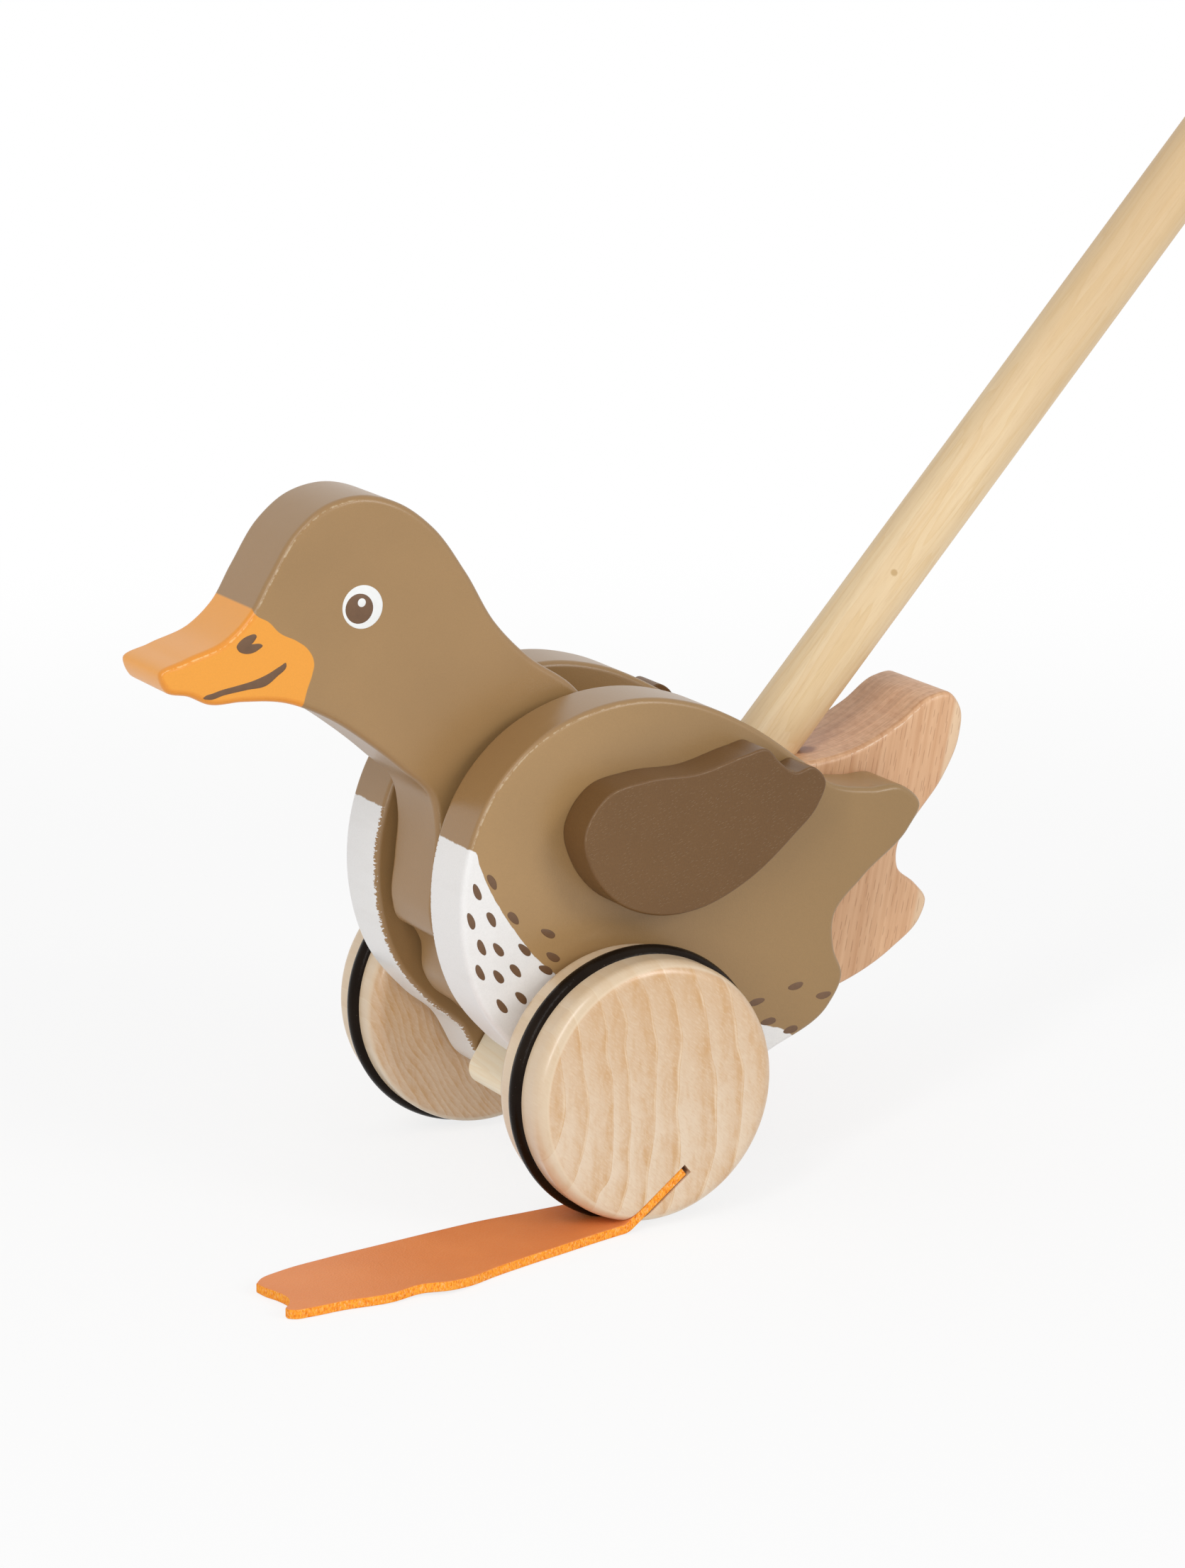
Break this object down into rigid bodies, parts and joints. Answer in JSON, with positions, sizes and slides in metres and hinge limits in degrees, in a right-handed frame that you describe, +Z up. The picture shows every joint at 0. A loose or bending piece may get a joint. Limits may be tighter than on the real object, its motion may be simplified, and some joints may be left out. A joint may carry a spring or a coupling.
{
  "type": "duck push toy",
  "caption": "Wooden duck push toy with a nodding head worked by a cam on its axle, wings, rubber-tyred wheels with flapping leather feet, a tail board and a slanting push stick.",
  "frame": {"origin": "on the floor, below the middle of the axle", "axes": "+X forward, the way the duck faces; +Y to the duck's left, along the axle; +Z up"},
  "size_m": [0.4951, 0.1328, 0.4686],
  "materials": {
    "body_paint": "satin khaki paint on wood",
    "wing_paint": "thin brown paint with the grain showing",
    "beech": "oiled beech",
    "pale_wood": "plain pale wood",
    "stick_wood": "plain straight-grained dowel",
    "tyre_rubber": "black rubber ring",
    "leather": "orange leather, smooth above, fibrous on the cut edge"
  },
  "bodies": {
    "chassis": {"left_side_board": "body_paint", "right_side_board": "body_paint", "tail_board": "beech", "tail_dowels": "beech", "left_wing": "wing_paint", "right_wing": "wing_paint", "push_stick": "stick_wood", "stick_knob": "stick_wood", "head_pivot": "beech", "left_head_spacer": "pale_wood", "right_head_spacer": "pale_wood"},
    "head": {"head_board": "body_paint"},
    "running_gear": {"axle": "pale_wood", "cam": "pale_wood", "left_wheel": "pale_wood", "right_wheel": "pale_wood", "left_tyre": "tyre_rubber", "right_tyre": "tyre_rubber", "left_foot": "leather", "right_foot": "leather"}
  },
  "joints": [
    {"name": "axle_spin", "type": "hinge", "parent": "chassis", "child": "running_gear", "pos_m": [0, 0, 0.0316], "axis": [0, 1, 0], "continuous": true, "deforming": ["left_foot", "right_foot"]},
    {"name": "head_nod", "type": "hinge", "parent": "chassis", "child": "head", "pos_m": [-0.006, 0, 0.0876], "axis": [0, 1, 0], "range_deg": [-15, 0]}
  ]
}
